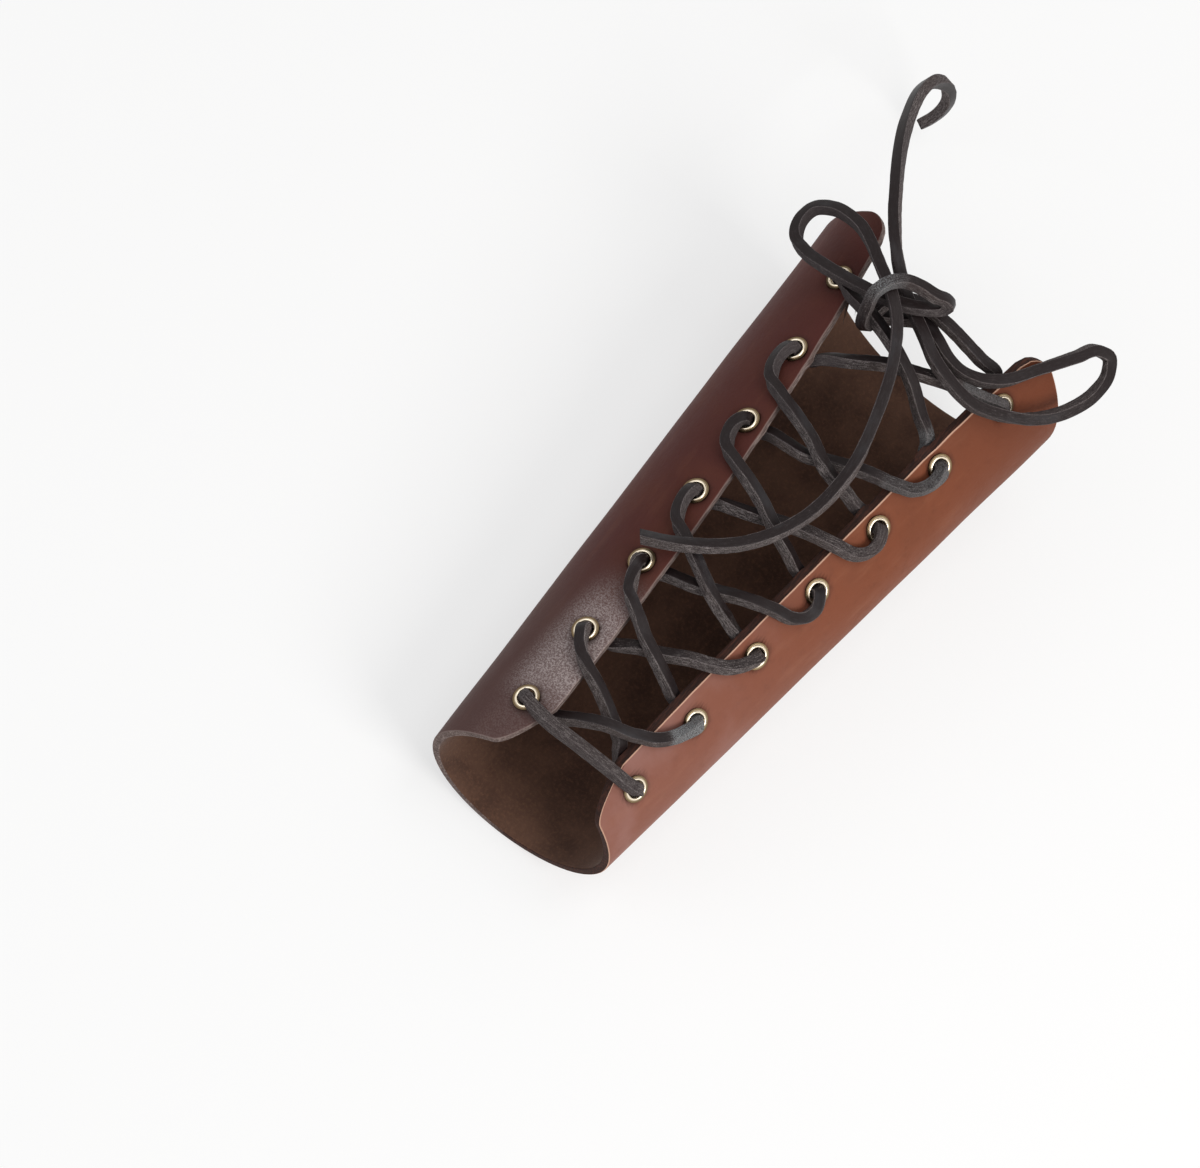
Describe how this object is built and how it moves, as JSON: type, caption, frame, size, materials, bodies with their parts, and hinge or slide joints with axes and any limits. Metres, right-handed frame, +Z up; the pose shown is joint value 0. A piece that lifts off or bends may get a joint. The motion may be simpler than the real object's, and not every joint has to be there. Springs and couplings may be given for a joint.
{
  "type": "laced leather arm guard",
  "caption": "Archer's forearm guard: one sheet of leather wrapped into a tapered cuff, with brass eyelets along an open gap and a square leather lace tied in a bow.",
  "frame": {"origin": "on the surface it lies on, under the middle of the cuff", "axes": "it lies on its back: +Z up through the lacing gap, +Y along the cuff from the wrist end to the elbow end, +X to the right of that"},
  "size_m": [0.1173, 0.3021, 0.0988],
  "materials": {
    "leather": "satin, vegetable tanned, darker on the left flap",
    "brass": "antiqued, bright on the rolled lips",
    "lace": "matt, rough on the cut sides"
  },
  "bodies": {
    "root": {"cuff": "leather", "eyelet_left_1": "brass", "eyelet_left_2": "brass", "eyelet_left_3": "brass", "eyelet_left_4": "brass", "eyelet_left_5": "brass", "eyelet_left_6": "brass", "eyelet_left_7": "brass", "eyelet_right_1": "brass", "eyelet_right_2": "brass", "eyelet_right_3": "brass", "eyelet_right_4": "brass", "eyelet_right_5": "brass", "eyelet_right_6": "brass", "eyelet_right_7": "brass", "washer_left_1": "brass", "washer_left_2": "brass", "washer_left_3": "brass", "washer_left_4": "brass", "washer_left_5": "brass", "washer_left_6": "brass", "washer_left_7": "brass", "washer_right_1": "brass", "washer_right_2": "brass", "washer_right_3": "brass", "washer_right_4": "brass", "washer_right_5": "brass", "washer_right_6": "brass", "washer_right_7": "brass", "lacing": "lace", "lace_end_left": "lace", "lace_end_right": "lace"}
  },
  "joints": []
}
